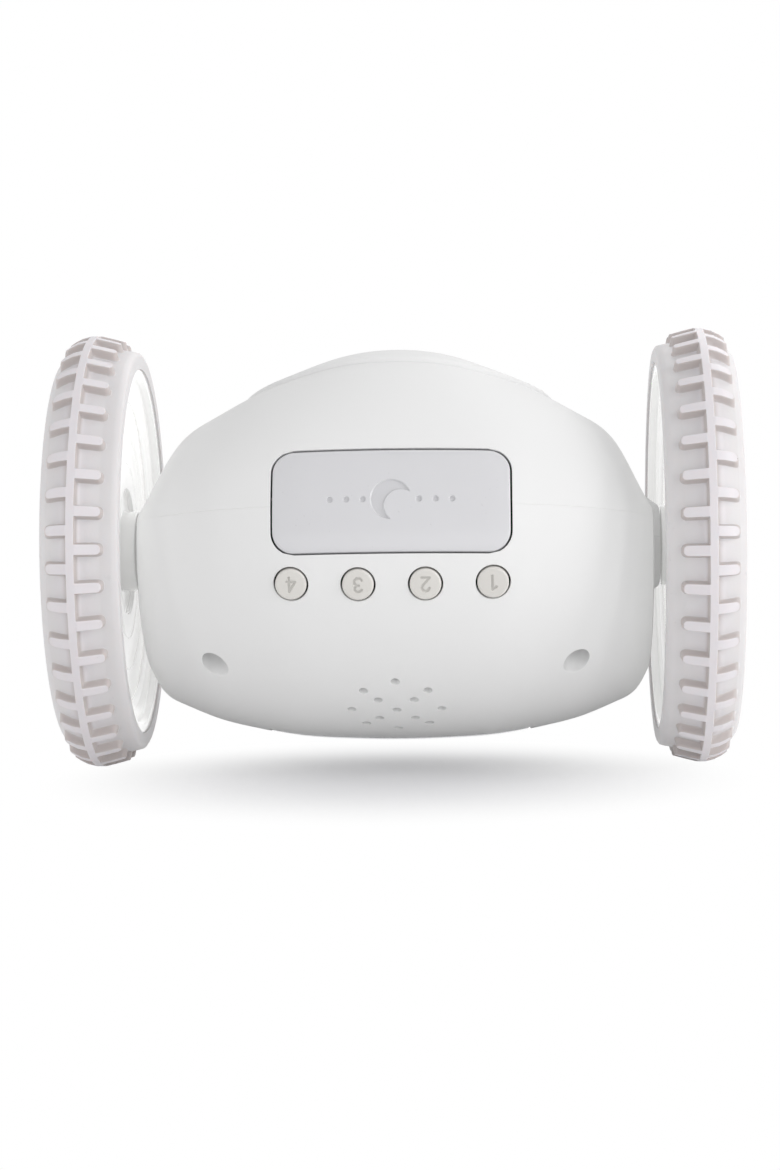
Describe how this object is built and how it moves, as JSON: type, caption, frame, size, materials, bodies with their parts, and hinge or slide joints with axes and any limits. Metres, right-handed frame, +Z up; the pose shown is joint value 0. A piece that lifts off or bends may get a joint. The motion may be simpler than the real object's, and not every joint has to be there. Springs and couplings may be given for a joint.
{
  "type": "runaway alarm clock",
  "caption": "Egg-shaped bedside alarm clock carried between two large treaded wheels that drive it away, with a display, a snooze bar and push buttons.",
  "frame": {"origin": "on the floor, under the middle of the wheel axle", "axes": "+X along the axle towards the right wheel as seen from the snooze side, -Y out of the snooze side, +Z up"},
  "size_m": [0.1366, 0.0888, 0.0889],
  "materials": {
    "housing_white": "glossy moulded ABS",
    "wheel_white": "glossy moulded ABS",
    "tyre_white": "soft matt rubber, faintly translucent",
    "button_cream": "satin moulded plastic",
    "clear_lens": "clear polished plastic",
    "dark_mask": "matt black",
    "lcd_glass": "grey-green display glass",
    "backlight": "diffuse white light guide",
    "strip_rubber": "soft matt",
    "board_green": "satin solder mask",
    "chip_black": "matt moulding compound",
    "steel": "bright zinc plate",
    "switch_black": "satin",
    "cone_film": "thin pressed film",
    "magnet_dark": "sintered, matt",
    "tray_white": "fine moulded texture",
    "cell_sleeve": "printed metal sleeve, plain",
    "gear_acetal": "natural acetal, satin",
    "brass": "machined",
    "bearing_acetal": "dark acetal, satin"
  },
  "bodies": {
    "chassis": {"front_shell": "housing_white", "rear_shell": "housing_white", "face_plate": "wheel_white", "display_window": "clear_lens", "lcd_shroud": "dark_mask", "lcd_glass": "lcd_glass", "backlight_panel": "backlight", "zebra_strips": "strip_rubber", "display_board": "board_green", "main_board": "board_green", "set_button_board": "board_green", "board_chips": "chip_black", "quartz_crystal": "steel", "push_switches": "switch_black", "speaker_frame": "steel", "speaker_cone": "cone_film", "speaker_magnet": "magnet_dark", "battery_tray": "tray_white", "battery_cells": "cell_sleeve", "battery_springs": "steel", "battery_plates": "steel", "housing_screws": "steel", "board_screws": "steel", "gear_pins": "steel", "gearbox_covers": "tray_white", "motor_cans": "steel", "motor_caps": "tray_white", "motor_magnets": "magnet_dark", "axle_bushes": "bearing_acetal", "right_gearbox_case": "tray_white", "left_gearbox_case": "tray_white"},
    "right_wheel": {"right_tyre": "tyre_white", "right_wheel_rim": "wheel_white", "right_hub_cap": "wheel_white", "right_wheel_screw": "steel", "right_axle": "steel", "right_output_gear": "gear_acetal"},
    "right_second_gear": {"right_second_gear": "gear_acetal"},
    "right_first_gear": {"right_first_gear": "gear_acetal"},
    "right_rotor": {"right_motor_armature": "steel", "right_motor_pinion": "brass"},
    "left_wheel": {"left_tyre": "tyre_white", "left_wheel_rim": "wheel_white", "left_hub_cap": "wheel_white", "left_wheel_screw": "steel", "left_axle": "steel", "left_output_gear": "gear_acetal"},
    "left_second_gear": {"left_second_gear": "gear_acetal"},
    "left_first_gear": {"left_first_gear": "gear_acetal"},
    "left_rotor": {"left_motor_armature": "steel", "left_motor_pinion": "brass"},
    "snooze_bar": {"snooze_bar": "housing_white"},
    "set_button_1": {"set_button_1": "button_cream"},
    "set_button_2": {"set_button_2": "button_cream"},
    "set_button_3": {"set_button_3": "button_cream"},
    "set_button_4": {"set_button_4": "button_cream"},
    "alarm_button": {"alarm_button": "button_cream"},
    "wheels_button": {"wheels_button": "button_cream"},
    "battery_door": {"battery_door": "housing_white"}
  },
  "joints": [
    {"name": "right_wheel_spin", "type": "hinge", "parent": "chassis", "child": "right_wheel", "pos_m": [0.06, 0, 0.04445], "axis": [1, 0, 0], "continuous": true},
    {"name": "right_second_gear_spin", "type": "hinge", "parent": "chassis", "child": "right_second_gear", "pos_m": [0.036, 0.0038, 0.03202], "axis": [1, 0, 0], "continuous": true},
    {"name": "right_first_gear_spin", "type": "hinge", "parent": "chassis", "child": "right_first_gear", "pos_m": [0.034, -0.00819, 0.03244], "axis": [1, 0, 0], "continuous": true},
    {"name": "right_rotor_spin", "type": "hinge", "parent": "chassis", "child": "right_rotor", "pos_m": [0.02, -0.01089, 0.04413], "axis": [1, 0, 0], "continuous": true},
    {"name": "left_wheel_spin", "type": "hinge", "parent": "chassis", "child": "left_wheel", "pos_m": [-0.06, 0, 0.04445], "axis": [1, 0, 0], "continuous": true},
    {"name": "left_second_gear_spin", "type": "hinge", "parent": "chassis", "child": "left_second_gear", "pos_m": [-0.036, 0.0038, 0.03202], "axis": [1, 0, 0], "continuous": true},
    {"name": "left_first_gear_spin", "type": "hinge", "parent": "chassis", "child": "left_first_gear", "pos_m": [-0.034, -0.00819, 0.03244], "axis": [1, 0, 0], "continuous": true},
    {"name": "left_rotor_spin", "type": "hinge", "parent": "chassis", "child": "left_rotor", "pos_m": [-0.02, -0.01089, 0.04413], "axis": [1, 0, 0], "continuous": true},
    {"name": "snooze_bar_press", "type": "slide", "parent": "chassis", "child": "snooze_bar", "axis": [0, 0.9659, -0.2588], "range_m": [0, 0.0008], "stiffness_N_per_m": 400, "springref_m": -0.0006},
    {"name": "set_button_1_press", "type": "slide", "parent": "chassis", "child": "set_button_1", "axis": [0, 0.9816, 0.1908], "range_m": [0, 0.0006], "stiffness_N_per_m": 200, "springref_m": -0.0008},
    {"name": "set_button_2_press", "type": "slide", "parent": "chassis", "child": "set_button_2", "axis": [0, 0.9816, 0.1908], "range_m": [0, 0.0006], "stiffness_N_per_m": 200, "springref_m": -0.0008},
    {"name": "set_button_3_press", "type": "slide", "parent": "chassis", "child": "set_button_3", "axis": [0, 0.9816, 0.1908], "range_m": [0, 0.0006], "stiffness_N_per_m": 200, "springref_m": -0.0008},
    {"name": "set_button_4_press", "type": "slide", "parent": "chassis", "child": "set_button_4", "axis": [0, 0.9816, 0.1908], "range_m": [0, 0.0006], "stiffness_N_per_m": 200, "springref_m": -0.0008},
    {"name": "alarm_button_press", "type": "slide", "parent": "chassis", "child": "alarm_button", "axis": [0, -0.2588, -0.9659], "range_m": [0, 0.0008], "stiffness_N_per_m": 200, "springref_m": -0.0008},
    {"name": "wheels_button_press", "type": "slide", "parent": "chassis", "child": "wheels_button", "axis": [0, -0.2588, -0.9659], "range_m": [0, 0.0008], "stiffness_N_per_m": 200, "springref_m": -0.0008},
    {"name": "battery_door_slide", "type": "slide", "parent": "chassis", "child": "battery_door", "axis": [0, 0.9659, -0.2588], "range_m": [0, 0.01]}
  ],
  "couplings": [
    {"joint": "right_second_gear_spin", "follows": "right_wheel_spin", "ratio": -3.3333},
    {"joint": "right_first_gear_spin", "follows": "right_wheel_spin", "ratio": 10},
    {"joint": "right_rotor_spin", "follows": "right_wheel_spin", "ratio": -30},
    {"joint": "left_second_gear_spin", "follows": "left_wheel_spin", "ratio": -3.3333},
    {"joint": "left_first_gear_spin", "follows": "left_wheel_spin", "ratio": 10},
    {"joint": "left_rotor_spin", "follows": "left_wheel_spin", "ratio": -30}
  ]
}
